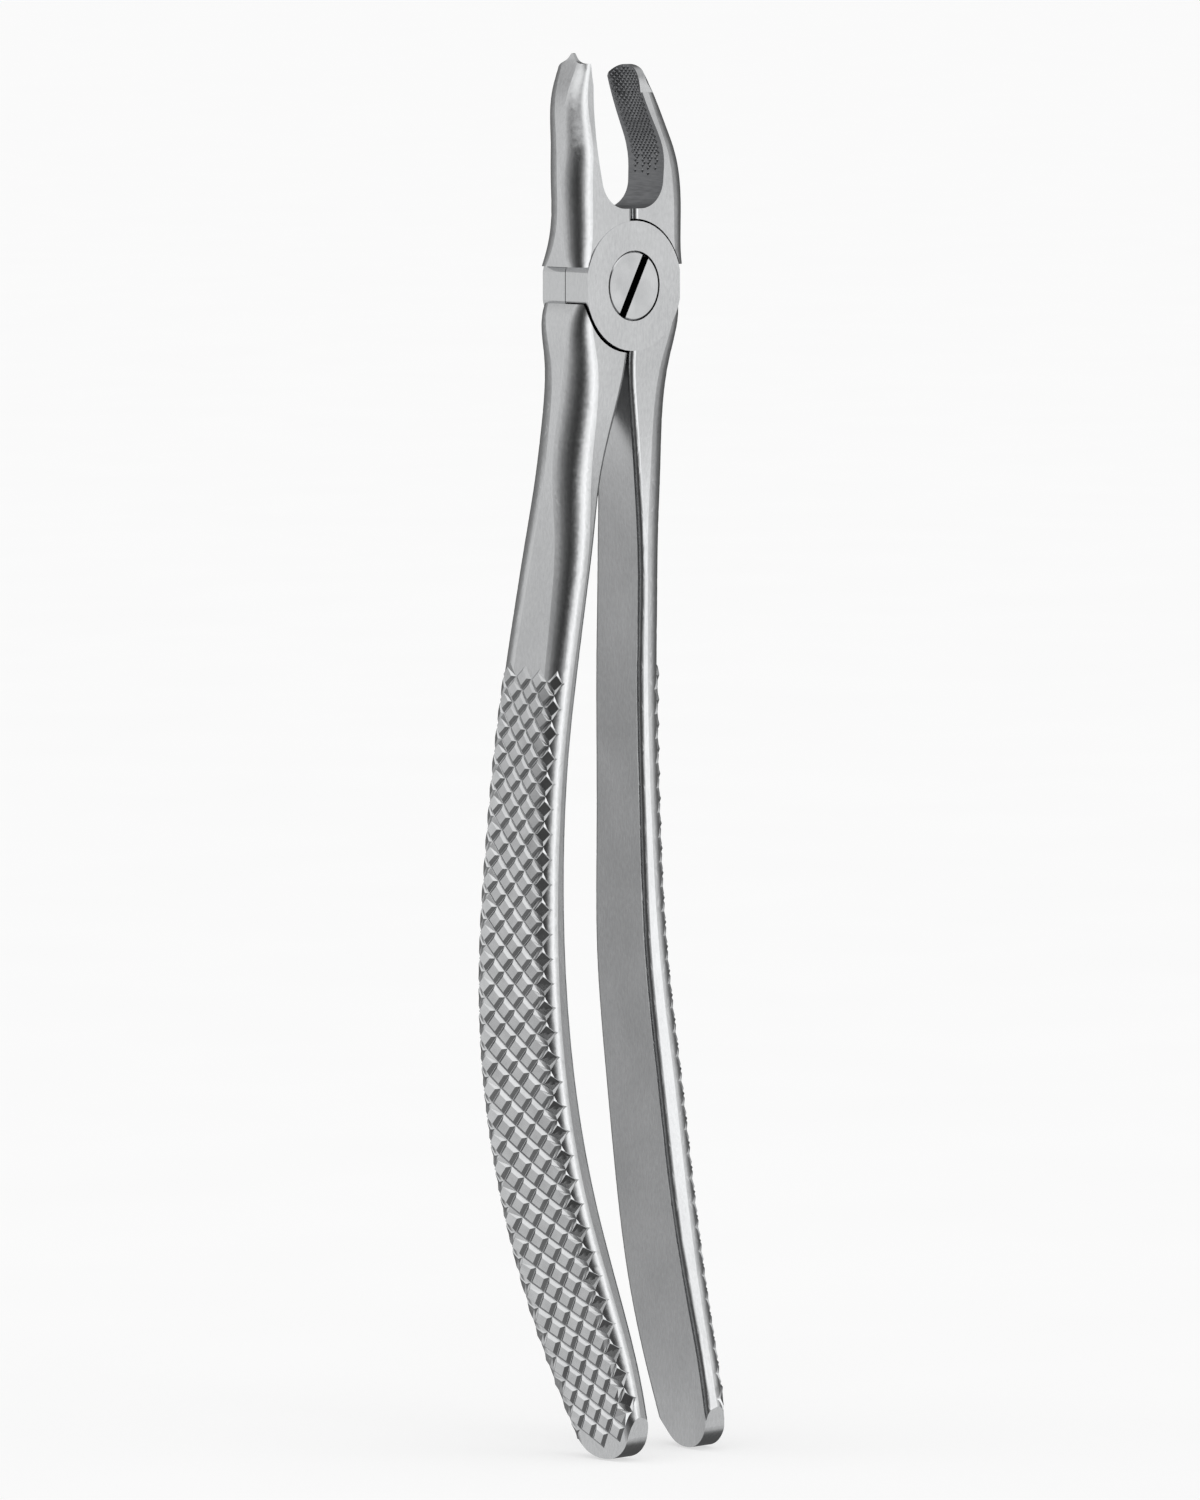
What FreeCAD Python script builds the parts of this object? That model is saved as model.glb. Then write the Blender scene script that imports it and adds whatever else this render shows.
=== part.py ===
import FreeCAD, Part
import math
import os
import Sketcher

# Upper molar extraction forceps: two forged halves that cross at a lap joint, and the slotted screw
# they turn on. Millimetres. The origin is on the pivot axis, at the joint's back face: +Z runs along
# the instrument to the beaks, +X is the way the beaks open, and the screw head faces -Y.
# Each half is forged in one piece: a beak, a disc that is half the joint's thickness, and a handle.

SIZES = {
    # lap joint
    "joint_thickness": 8.2,
    "joint_half_width": 7.9,
    "disc_radius": 8.1,
    "recess_clearance": 0.25,
    "lap_gap": 0.12,
    "seam_half_gap": 0.1,
    "face_inset": 0.1,
    "shoulder_above": 2.5,
    "shoulder_below": 2.1,
    # beaks
    "crotch_height": 9.6,
    "crotch_radius": 3.9,
    "crotch_half": 4.7,
    "beak_gap_half": 5.8,
    "tip_gap_half": 3.4,
    "cusp_height": 29.1,
    "round_tip_height": 27.4,
    "beak_half_width": 9.7,
    "tip_width": 5.3,
    "beak_lean": 2.1,
    "hollow_radius": 5.0,
    "hollow_depth": 0.6,
    # handles
    "handle_length": 146.0,
    "grip_width": 12.6,
    "grip_thickness": 4.0,
    "handle_gap_half": 8.0,
    "handle_bow": 6.8,
    "handle_toe": 9.5,
    "end_radius": 5.0,
    "end_middle": -8.6,
    "inner_edge": 0.7,
    # pivot screw
    "head_radius": 4.35,
    "head_depth": 2.4,
    "shank_radius": 2.6,
    "running_clearance": 0.05,
    "slot_width": 1.1,
    "slot_depth": 1.2,
    "slot_angle": 28.5,
    "screw_end_inset": 0.15,
}

# Handle stations: share of the handle's length below the pivot, of the gap between the handles, of
# the backward bow, of the grip's width and thickness, of the toe (the turn about +Z that faces the
# outer side a little forwards), and the outer edges' radius as a share of the grip's thickness.
HANDLE_STATIONS = (
    (0.060, 0.030, 0.11, 0.66, 2.08, 0.00, 0.72),
    (0.095, 0.120, 0.20, 0.66, 1.83, 0.00, 0.84),
    (0.130, 0.270, 0.29, 0.65, 1.60, 0.10, 0.88),
    (0.165, 0.410, 0.38, 0.66, 1.38, 0.40, 0.86),
    (0.215, 0.550, 0.51, 0.75, 1.08, 0.75, 0.78),
    (0.270, 0.655, 0.64, 0.79, 0.97, 0.85, 0.70),
    (0.320, 0.730, 0.76, 0.80, 0.96, 0.95, 0.65),
    (0.390, 0.840, 0.89, 0.82, 0.93, 1.00, 0.60),
    (0.480, 0.935, 0.97, 0.865, 0.925, 1.00, 0.55),
    (0.580, 0.985, 0.96, 0.945, 0.985, 1.00, 0.52),
    (0.695, 1.010, 0.68, 1.01, 1.045, 1.00, 0.50),
    (0.780, 0.940, 0.32, 1.04, 1.05, 1.00, 0.50),
    (0.865, 0.830, -0.20, 1.08, 0.95, 0.95, 0.50),
    (0.940, 0.740, -0.77, 0.99, 0.85, 0.80, 0.46),
    (1.020, 0.650, -1.38, 0.80, 0.80, 0.70, 0.44),
)

# Beak stations: share of the cusp's height above the pivot, the outer side's share of the beaks'
# half width, the share of the beak's lean, the beak's share of the tip's width, and the outer edges'
# radius as a share of the tip's width.
BEAK_STATIONS = (
    (0.20, 0.985, -0.29, 1.28, 0.48),
    (0.34, 1.000, -0.41, 1.19, 0.52),
    (0.48, 0.985, -0.29, 1.21, 0.53),
    (0.59, 0.920, -0.05, 1.23, 0.50),
    (0.69, 0.850, 0.34, 1.17, 0.45),
    (0.79, 0.760, 0.70, 1.10, 0.37),
    (0.90, 0.600, 0.97, 1.02, 0.27),
    (1.04, 0.480, 1.14, 0.96, 0.20),
)

doc = FreeCAD.newDocument("extraction_forceps")


def make_sheet():
    """Put every driving dimension in a spreadsheet cell with its own alias."""
    sheet = doc.addObject("Spreadsheet::Sheet", "sizes")
    for row, (alias, value) in enumerate(SIZES.items(), start=1):
        sheet.set(f"A{row}", alias)
        sheet.set(f"B{row}", str(value))
        sheet.setAlias(f"B{row}", alias)
    doc.recompute()
    return sheet


def origin_plane(body, role):
    """Return the body's own origin plane with this role."""
    return next(item for item in body.Origin.OriginFeatures if item.Role == role)


def new_sketch(body, name, role):
    """Return an empty sketch on one of the body's origin planes."""
    sketch = body.newObject("Sketcher::SketchObject", name)
    sketch.AttachmentSupport = [(origin_plane(body, role), "")]
    sketch.MapMode = "FlatFace"
    return sketch


def value_of(expression):
    """Return an expression's value with the sheet's present numbers."""
    return float(doc.sizes.evalExpression(expression))


def dimension(sketch, kind, expression, *geometry):
    """Add a dimension, drawn at its present value and bound to the sheet."""
    index = sketch.addConstraint(Sketcher.Constraint(kind, *geometry, value_of(expression)))
    sketch.renameConstraint(index, f"size_{index}")
    sketch.setExpression(f"Constraints.size_{index}", expression)


def place(sketch, x="0", y="0", z="0", turn="0"):
    """Bind where a sketch lies on its plane, and how far it is turned in that plane."""
    sketch.AttachmentOffset = FreeCAD.Placement(
        FreeCAD.Vector(value_of(x), value_of(y), value_of(z)),
        FreeCAD.Rotation(FreeCAD.Vector(0, 0, 1), value_of(turn)))
    sketch.setExpression("AttachmentOffset.Base.x", x)
    sketch.setExpression("AttachmentOffset.Base.y", y)
    sketch.setExpression("AttachmentOffset.Base.z", z)
    sketch.setExpression("AttachmentOffset.Rotation.Angle", turn)


def corner_ends(before, corner, after, radius):
    """Return where a corner's arc starts and ends, and its centre."""
    to_before = (before - corner).normalize()
    to_after = (after - corner).normalize()
    half = to_before.getAngle(to_after) / 2
    setback = radius / math.tan(half)
    centre = corner + (to_before + to_after).normalize() * (radius / math.sin(half))
    return corner + to_before * setback, corner + to_after * setback, centre


def outline(sketch, corners):
    """Draw a closed outline of (x, y, corner radius or None) expressions, each one bound."""
    points = [FreeCAD.Vector(value_of(x), value_of(y), 0) for x, y, _ in corners]
    radii = [value_of(radius) if radius else 0.0 for _, _, radius in corners]
    count = len(corners)
    starts, ends, centres = [], [], []
    for here in range(count):
        if radii[here]:
            into, out, centre = corner_ends(points[here - 1], points[here],
                                            points[(here + 1) % count], radii[here])
        else:
            into = out = centre = points[here]
        ends.append(into)
        starts.append(out)
        centres.append(centre)
    for here in range(count):
        sketch.addGeometry(Part.LineSegment(starts[here], ends[(here + 1) % count]), False)
    for here, (x, y, radius) in enumerate(corners):
        before = (here - 1) % count
        if radius:
            join_with_arc(sketch, before, here, ends[here], starts[here], centres[here], radii[here])
            arc = sketch.GeometryCount - 1
            corner = sketch.addGeometry(Part.Point(points[here]), True)
            sketch.addConstraint(Sketcher.Constraint("PointOnObject", corner, 1, before))
            sketch.addConstraint(Sketcher.Constraint("PointOnObject", corner, 1, here))
            dimension(sketch, "Radius", radius, arc)
            vertex = (corner, 1)
        else:
            sketch.addConstraint(Sketcher.Constraint("Coincident", before, 2, here, 1))
            vertex = (here, 1)
        dimension(sketch, "DistanceX", x, -1, 1, *vertex)
        dimension(sketch, "DistanceY", y, -1, 1, *vertex)


def join_with_arc(sketch, before, after, start, end, centre, radius):
    """Join the end of one line to the start of the next with a tangent arc."""
    angles = [math.atan2(point.y - centre.y, point.x - centre.x) for point in (start, end)]
    turn = (start - centre).cross(end - centre).z
    circle = Part.Circle(centre, FreeCAD.Vector(0, 0, 1), radius)
    first, last = angles if turn > 0 else angles[::-1]
    arc = sketch.addGeometry(Part.ArcOfCircle(circle, first, last), False)
    meets_before, meets_after = (1, 2) if turn > 0 else (2, 1)
    sketch.addConstraint(Sketcher.Constraint("Tangent", before, 2, arc, meets_before))
    sketch.addConstraint(Sketcher.Constraint("Tangent", after, 1, arc, meets_after))


def circle(sketch, radius, x="0", y="0"):
    """Draw one circle with its radius and centre bound."""
    centre = FreeCAD.Vector(value_of(x), value_of(y), 0)
    sketch.addGeometry(Part.Circle(centre, FreeCAD.Vector(0, 0, 1), value_of(radius)), False)
    dimension(sketch, "Radius", radius, 0)
    dimension(sketch, "DistanceX", x, -1, 1, 0, 3)
    dimension(sketch, "DistanceY", y, -1, 1, 0, 3)


def pad(body, name, sketch, length, reverse=False):
    """Add material from a sketch, one way."""
    feature = body.newObject("PartDesign::Pad", name)
    feature.Profile = sketch
    feature.Length = value_of(length)
    feature.setExpression("Length", length)
    feature.Reversed = reverse
    doc.recompute()


def pocket(body, name, sketch, depth, reverse=False, both_ways=False):
    """Cut a sketch's shape out of the body, and check that it took something away."""
    before = body.Shape.Volume
    feature = body.newObject("PartDesign::Pocket", name)
    feature.Profile = sketch
    feature.Length = value_of(depth)
    feature.setExpression("Length", depth)
    feature.Reversed = reverse
    feature.SideType = "Symmetric" if both_ways else "One side"
    doc.recompute()
    if body.Shape.Volume > before - 0.01:
        raise RuntimeError(f"{body.Label}: {name} cuts nothing")


def loft(body, name, sections, kind="PartDesign::AdditiveLoft"):
    """Add or take away one smooth solid through the sections."""
    feature = body.newObject(kind, name)
    feature.Profile = sections[0]
    feature.Sections = sections[1:]
    doc.recompute()


def section(body, name, side, inner, middle, height, width, thickness, edge, toe="0"):
    """Draw one level section of a beak or handle: flat on its inner side, round on its outer edges.

    side is 1 to the right of the pivot plane and -1 to its left, inner is the inner side's distance
    from that plane, middle is how far the section's middle lies behind the joint's, and toe turns
    the outer side forwards.
    """
    sketch = new_sketch(body, name, "XY_Plane")
    turn = f"-({toe})" if side > 0 else f"180 + ({toe})"
    place(sketch, f"{side} * ({inner})", f"{middle} - sizes.joint_thickness / 2", height, turn)
    outline(sketch, (
        ("0", f"-({width}) / 2", "sizes.inner_edge"),
        (thickness, f"-({width}) / 2", edge),
        (thickness, f"({width}) / 2", edge),
        ("0", f"({width}) / 2", "sizes.inner_edge"),
    ))
    return sketch


def add_handle(body, side):
    """Add the handle: a shoulder below the joint, then a long bow backwards and forwards again."""
    sections = [section(body, "handle_root", side, "sizes.seam_half_gap", "0",
                        "-sizes.shoulder_below", "sizes.joint_thickness - 2 * sizes.face_inset",
                        "sizes.joint_half_width * 1.07 - sizes.seam_half_gap",
                        "sizes.grip_thickness * 0.38")]
    for number, station in enumerate(HANDLE_STATIONS, start=1):
        down, gap, bow, width, thickness, toe, edge = station
        sections.append(section(
            body, f"handle_section_{number}", side,
            f"sizes.handle_gap_half * {gap}", f"sizes.handle_bow * {bow}",
            f"-sizes.handle_length * {down}", f"sizes.grip_width * {width}",
            f"sizes.grip_thickness * {thickness}", f"sizes.grip_thickness * {edge}",
            f"sizes.handle_toe * {toe}"))
    loft(body, "handle", sections)


def round_handle_end(body):
    """Cut the handle's end round as seen from the side, with a longer slope at its back."""
    sketch = new_sketch(body, "handle_end_outline", "YZ_Plane")
    place(sketch, "-sizes.joint_thickness / 2 + sizes.end_middle",
          "-sizes.handle_length + sizes.end_radius")
    radius = "sizes.end_radius"
    outline(sketch, (
        (f"-{radius} * 1.04", f"{radius} * 1.5", None),
        (f"-{radius} * 0.52", f"-{radius}", f"{radius} * 0.72"),
        (f"{radius} * 0.524", f"-{radius}", radius),
        (f"{radius} * 3.5", f"{radius} * 1.5", None),
        (f"{radius} * 4", f"{radius} * 1.5", None),
        (f"{radius} * 4", f"-{radius} * 5", None),
        (f"-{radius} * 4", f"-{radius} * 5", None),
        (f"-{radius} * 4", f"{radius} * 1.5", None),
    ))
    pocket(body, "handle_end", sketch, "sizes.handle_gap_half * 8", both_ways=True)


def add_beak(body, side):
    """Add the beak's outer shape, from its shoulder above the joint to a tip that leans backwards."""
    sections = [section(body, "beak_root", side, "sizes.seam_half_gap", "-sizes.face_inset",
                        "sizes.shoulder_above", "sizes.joint_thickness - 4 * sizes.face_inset",
                        "sizes.beak_half_width * 0.965 - sizes.seam_half_gap",
                        "sizes.tip_width * 0.34")]
    for number, (up, outer, lean, width, edge) in enumerate(BEAK_STATIONS, start=1):
        sections.append(section(
            body, f"beak_section_{number}", side, "sizes.seam_half_gap",
            f"sizes.beak_lean * {lean}", f"sizes.cusp_height * {up}",
            f"sizes.tip_width * {width}",
            f"sizes.beak_half_width * {outer} - sizes.seam_half_gap",
            f"sizes.tip_width * {edge}"))
    loft(body, "beak", sections)


def cut_beak_gap(body):
    """Cut the gap between the beaks, the room for a molar's crown."""
    sketch = new_sketch(body, "beak_gap_outline", "XZ_Plane")
    sides = []
    for side in (1, -1):
        corners = [
            (f"{side} * sizes.crotch_half", "sizes.crotch_height", "sizes.crotch_radius"),
            (f"{side} * sizes.beak_gap_half", "sizes.cusp_height * 0.58", "sizes.cusp_height * 0.4"),
            (f"{side} * sizes.tip_gap_half", "sizes.cusp_height * 0.94", "sizes.cusp_height * 0.4"),
            (f"{side} * (sizes.tip_gap_half - 0.1)", "sizes.cusp_height * 1.15", None),
        ]
        sides += corners if side > 0 else corners[::-1]
    outline(sketch, sides)
    pocket(body, "beak_gap", sketch, "sizes.joint_thickness * 4", both_ways=True)


def hollow_beak(body, side):
    """Hollow the beak's inner face, deeper towards the tip, to fit a tooth's neck."""
    circles = []
    for name, height, inner, depth, lean in (
            ("hollow_foot", "sizes.cusp_height * 0.7", "sizes.beak_gap_half * 0.8",
             "sizes.hollow_depth * 0.5", "0.4"),
            ("hollow_tip", "sizes.cusp_height * 1.1", "sizes.tip_gap_half",
             "sizes.hollow_depth", "1.1")):
        sketch = new_sketch(body, name, "XY_Plane")
        place(sketch, z=height)
        circle(sketch, "sizes.hollow_radius",
               f"{side} * ({inner} + {depth} - sizes.hollow_radius)",
               f"sizes.beak_lean * {lean} - sizes.joint_thickness / 2")
        circles.append(sketch)
    before = body.Shape.Volume
    loft(body, "beak_hollow", circles, "PartDesign::SubtractiveLoft")
    if body.Shape.Volume > before - 0.01:
        raise RuntimeError(f"{body.Label}: the hollow cuts nothing")


def trim_tip(body, corners):
    """Cut the beak's tip along an outline seen from the side; x is measured from its middle."""
    sketch = new_sketch(body, "tip_outline", "YZ_Plane")
    place(sketch, "sizes.beak_lean - sizes.joint_thickness / 2")
    outline(sketch, corners)
    pocket(body, "tip", sketch, "sizes.joint_half_width * 4", both_ways=True)


def cusp_tip():
    """Return the outline above a tip with one central cusp between two shoulders."""
    top = "sizes.cusp_height"
    half = "sizes.tip_width / 2"
    return (
        (f"-{half} - 3", f"{top} + 4", None),
        (f"-{half} - 3", f"{top} - 1.6", None),
        ("-1.0", f"{top} - 1.5", "2.0"),
        ("0.1", top, "0.3"),
        ("0.9", f"{top} - 1.2", "1.2"),
        (f"{half} - 0.2", f"{top} - 1.4", "2.0"),
        (f"{half} + 0.4", f"{top} - 6", None),
        (f"{half} + 4", f"{top} - 6", None),
        (f"{half} + 4", f"{top} + 4", None),
    )


def rounded_tip():
    """Return the outline above a plain rounded tip."""
    top = "sizes.round_tip_height"
    half = "sizes.tip_width * 0.56"
    return (
        (f"-{half} - 3", f"{top} + 6", None),
        (f"-{half} - 3", f"{top} - 3.5", None),
        (f"-{half}", f"{top} - 3.5", None),
        (f"-{half}", top, f"{half} * 0.97"),
        (half, top, f"{half} * 0.97"),
        (half, f"{top} - 3.5", None),
        (f"{half} + 3", f"{top} - 3.5", None),
        (f"{half} + 3", f"{top} + 6", None),
    )


def add_disc(body, front):
    """Add the half's own disc of the lap joint, flat at its two sides."""
    sketch = new_sketch(body, "disc_outline", "XZ_Plane")
    place(sketch, z="(sizes.joint_thickness + sizes.lap_gap) / 2" if front else "0")
    radius = value_of("sizes.disc_radius")
    flat = "min(sizes.joint_half_width; sizes.disc_radius * 0.98)"
    half = value_of(flat)
    angle = math.acos(half / radius)
    rise = radius * math.sin(angle)
    round_line = Part.Circle(FreeCAD.Vector(0, 0, 0), FreeCAD.Vector(0, 0, 1), radius)
    sketch.addGeometry([
        Part.LineSegment(FreeCAD.Vector(half, -rise, 0), FreeCAD.Vector(half, rise, 0)),
        Part.ArcOfCircle(round_line, angle, math.pi - angle),
        Part.LineSegment(FreeCAD.Vector(-half, rise, 0), FreeCAD.Vector(-half, -rise, 0)),
        Part.ArcOfCircle(round_line, math.pi + angle, 2 * math.pi - angle),
    ], False)
    for here in range(4):
        sketch.addConstraint(Sketcher.Constraint("Coincident", here, 2, (here + 1) % 4, 1))
    for line in (0, 2):
        sketch.addConstraint(Sketcher.Constraint("Vertical", line))
    for arc in (1, 3):
        sketch.addConstraint(Sketcher.Constraint("Coincident", arc, 3, -1, 1))
    dimension(sketch, "Radius", "sizes.disc_radius", 1)
    dimension(sketch, "DistanceX", flat, -1, 1, 0, 1)
    dimension(sketch, "DistanceX", f"-{flat}", -1, 1, 2, 1)
    pad(body, "disc", sketch, "(sizes.joint_thickness - sizes.lap_gap) / 2")


def cut_recess(body, front):
    """Clear the other half's disc out of this half's other layer, and what lies outside that layer."""
    sketch = new_sketch(body, "recess_outline", "XZ_Plane")
    outside = "sizes.joint_thickness / 2"
    place(sketch, z=f"-{outside}" if front else f"sizes.joint_thickness + {outside}")
    circle(sketch, "sizes.disc_radius + sizes.recess_clearance")
    pocket(body, "recess", sketch, f"(sizes.joint_thickness + sizes.lap_gap) / 2 + {outside}",
           reverse=front)


def cut_round_hole(body, name, radius, start, depth):
    """Cut a round hole about the pivot, from a depth behind the front face backwards."""
    sketch = new_sketch(body, f"{name}_outline", "XZ_Plane")
    place(sketch, z=start)
    circle(sketch, radius)
    pocket(body, name, sketch, depth)


def make_half(name, front):
    """Build one forging: beak on one side, handle on the other, and half of the lap joint."""
    body = doc.addObject("PartDesign::Body", name)
    handle_side = 1 if front else -1
    beak_side = -handle_side
    add_disc(body, front)
    add_handle(body, handle_side)
    round_handle_end(body)
    add_beak(body, beak_side)
    cut_beak_gap(body)
    trim_tip(body, cusp_tip() if front else rounded_tip())
    hollow_beak(body, beak_side)
    cut_recess(body, front)
    if front:
        cut_round_hole(body, "head_seat", "sizes.head_radius + sizes.running_clearance",
                       "sizes.joint_thickness", "sizes.head_depth + sizes.running_clearance")
        cut_round_hole(body, "bore", "sizes.shank_radius + sizes.running_clearance",
                       "sizes.joint_thickness", "sizes.joint_thickness")
    else:
        cut_round_hole(body, "bore", "sizes.shank_radius", "sizes.joint_thickness",
                       "sizes.joint_thickness")
    return body


def make_screw():
    """Build the pivot screw: a flush slotted head and a shank that ends just inside the back face."""
    body = doc.addObject("PartDesign::Body", "pivot_screw")
    profile = new_sketch(body, "screw_profile", "YZ_Plane")
    front = "-sizes.joint_thickness"
    under_head = "-sizes.joint_thickness + sizes.head_depth"
    outline(profile, (
        (front, "0", None),
        (front, "sizes.head_radius", "0.2"),
        (under_head, "sizes.head_radius", None),
        (under_head, "sizes.shank_radius", None),
        ("-sizes.screw_end_inset", "sizes.shank_radius", None),
        ("-sizes.screw_end_inset", "0", None),
    ))
    turned = body.newObject("PartDesign::Revolution", "turned_screw")
    turned.Profile = profile
    turned.ReferenceAxis = (profile, ["H_Axis"])
    turned.Angle = 360
    doc.recompute()
    slot = new_sketch(body, "slot_outline", "XZ_Plane")
    place(slot, z="sizes.joint_thickness", turn="-sizes.slot_angle")
    outline(slot, [(f"{x} * sizes.slot_width / 2", f"{y} * (sizes.head_radius + 1)", None)
                   for x, y in ((-1, -1), (1, -1), (1, 1), (-1, 1))])
    pocket(body, "slot", slot, "sizes.slot_depth")
    return body


def write_parts(bodies):
    """Check every object and every solid, then write one STEP file a piece."""
    doc.recompute()
    failed = [item.Name for item in doc.Objects
              if "Invalid" in item.State or "Error" in item.State]
    if failed:
        raise RuntimeError(f"failed objects: {failed}")
    os.makedirs("parts", exist_ok=True)
    for body in bodies:
        shape = body.Shape
        if shape.isNull() or not shape.isValid() or len(shape.Solids) != 1:
            raise RuntimeError(f"{body.Label}: not one valid solid")
        shape.exportStep(f"parts/{body.Label}.step")
        box = shape.optimalBoundingBox(False)
        print(f"{body.Label}: {shape.Volume:.1f} mm3, x {box.XMin:.2f} to {box.XMax:.2f}, "
              f"y {box.YMin:.2f} to {box.YMax:.2f}, z {box.ZMin:.2f} to {box.ZMax:.2f}")


make_sheet()
write_parts([make_half("back_half", front=False), make_half("front_half", front=True),
             make_screw()])
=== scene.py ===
import math

import bmesh
import bpy
from mathutils import Matrix, Vector
from mathutils.bvhtree import BVHTree


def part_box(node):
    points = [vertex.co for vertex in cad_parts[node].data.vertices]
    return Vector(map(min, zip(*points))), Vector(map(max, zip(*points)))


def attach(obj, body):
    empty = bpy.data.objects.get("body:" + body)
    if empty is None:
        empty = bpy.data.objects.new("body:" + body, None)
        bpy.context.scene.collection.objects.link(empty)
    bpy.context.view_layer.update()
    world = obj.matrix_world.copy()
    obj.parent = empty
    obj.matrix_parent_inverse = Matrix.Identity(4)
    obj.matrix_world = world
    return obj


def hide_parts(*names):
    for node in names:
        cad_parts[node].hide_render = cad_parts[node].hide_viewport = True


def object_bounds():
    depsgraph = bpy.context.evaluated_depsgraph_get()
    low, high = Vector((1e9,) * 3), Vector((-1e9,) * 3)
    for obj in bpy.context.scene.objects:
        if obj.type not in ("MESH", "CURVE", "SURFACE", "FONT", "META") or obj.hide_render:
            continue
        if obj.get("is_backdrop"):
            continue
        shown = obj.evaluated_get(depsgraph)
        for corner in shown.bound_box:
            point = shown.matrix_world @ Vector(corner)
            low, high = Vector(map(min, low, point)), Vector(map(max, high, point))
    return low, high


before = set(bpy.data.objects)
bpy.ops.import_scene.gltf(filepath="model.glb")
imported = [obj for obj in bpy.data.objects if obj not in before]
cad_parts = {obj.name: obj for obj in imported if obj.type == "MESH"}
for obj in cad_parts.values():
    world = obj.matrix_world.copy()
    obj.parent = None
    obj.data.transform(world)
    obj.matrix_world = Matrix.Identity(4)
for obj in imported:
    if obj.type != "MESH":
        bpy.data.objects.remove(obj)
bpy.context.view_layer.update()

bl_info = {
    "name": "Extraction forceps",
    "version": (1, 0, 0),
    "blender": (4, 5, 0),
    "location": "3D View > Sidebar > Forceps",
    "description": "Stainless steel dental extraction forceps with knurled grips and serrated beaks",
    "category": "Object",
}

MM = 0.001

EDGE_HEIGHT = 0.5  # height of a pattern's outermost diamonds, as a share of the others'
RING_STEP = 0.3 * MM  # distance between the turned rings, to within a fiftieth
TURNED_SIDES = 128  # flat sides of a turned ring


# ---------------------------------------------------------------- small helpers

def linear(hex_colour):
    """Turn an sRGB hex colour into linear red, green, blue and a full alpha."""
    channels = [int(hex_colour[at:at + 2], 16) / 255 for at in (1, 3, 5)]
    return tuple(c / 12.92 if c <= 0.04045 else ((c + 0.055) / 1.055) ** 2.4
                 for c in channels) + (1.0,)


def add_node(tree, kind, inputs=None, **properties):
    """Add a node, set its properties, and give its sockets a value or a link."""
    node = tree.nodes.new(kind)
    for name, value in properties.items():
        setattr(node, name, value)
    for socket, value in (inputs or {}).items():
        if isinstance(value, bpy.types.NodeSocket):
            tree.links.new(value, node.inputs[socket])
        else:
            node.inputs[socket].default_value = value
    return node


def ramp(tree, factor, stops, interpolation="LINEAR"):
    """Add a colour ramp whose stops are (place, colour) pairs."""
    node = add_node(tree, "ShaderNodeValToRGB", {"Fac": factor})
    node.color_ramp.interpolation = interpolation
    elements = node.color_ramp.elements
    while len(elements) < len(stops):
        elements.new(0.5)
    for element, (place, colour) in zip(elements, stops):
        element.position = place
        element.color = colour
    return node.outputs["Color"]


def noise(tree, size, detail=2.0, roughness=0.5, stretch=(1, 1, 1)):
    """Noise whose blotches are size millimetres across, stretched by the given factors."""
    where = add_node(tree, "ShaderNodeTexCoord")
    scaled = add_node(tree, "ShaderNodeMapping", {
        "Vector": where.outputs["Object"],
        "Scale": [1 / (MM * size * factor) for factor in stretch],
    })
    return add_node(tree, "ShaderNodeTexNoise", {
        "Vector": scaled.outputs["Vector"], "Scale": 1.0, "Detail": detail,
        "Roughness": roughness}).outputs["Fac"]


def map_range(tree, value, low, high, start=0.0, end=1.0):
    """Map a value from start..end to low..high."""
    return add_node(tree, "ShaderNodeMapRange", {
        "Value": value, "From Min": start, "From Max": end, "To Min": low,
        "To Max": high}).outputs["Result"]


def new_material(name):
    """Return an empty node material with its tree and its shader."""
    material = bpy.data.materials.new(name)
    material.use_nodes = True
    tree = material.node_tree
    tree.nodes.clear()
    shader = add_node(tree, "ShaderNodeBsdfPrincipled")
    add_node(tree, "ShaderNodeOutputMaterial", {"Surface": shader.outputs["BSDF"]})
    return material, tree, shader


def settings(name):
    """Return one of the scene's own property groups."""
    return getattr(bpy.context.scene, name)


def new_piece(name, mesh, body, material):
    """Link a finished mesh as a piece that rides on a CAD body."""
    mesh.materials.append(material)
    piece = bpy.data.objects.new(name, mesh)
    bpy.context.scene.collection.objects.link(piece)
    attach(piece, body)
    return piece


# ---------------------------------------------------------------- materials

def satin_steel():
    """Stainless steel, forged, then belt-ground and bead-blasted to a satin finish.

    It gives soft, wide highlights with a very fine grain, lighter and darker by a hair.
    """
    look = settings("forceps_steel")
    material, tree, shader = new_material("stainless_steel_satin_blasted")
    cloud = noise(tree, 9.0, detail=3.0)
    grain = noise(tree, 0.28, detail=2.0, stretch=(1, 1, 2.5))
    mixed = add_node(tree, "ShaderNodeMix", {
        0: 0.5, 2: cloud, 3: grain}, data_type="FLOAT").outputs[0]
    colour = ramp(tree, mixed, [(0.3, tuple(look.dark)), (0.7, tuple(look.light))])
    rough = map_range(tree, mixed, look.satin - 0.05, look.satin + 0.05, 0.3, 0.7)
    bump = add_node(tree, "ShaderNodeBump", {
        "Height": grain, "Strength": 0.22, "Distance": 0.012 * MM})
    tree.links.new(colour, shader.inputs["Base Color"])
    tree.links.new(rough, shader.inputs["Roughness"])
    tree.links.new(bump.outputs["Normal"], shader.inputs["Normal"])
    shader.inputs["Metallic"].default_value = 1.0
    return material


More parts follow.
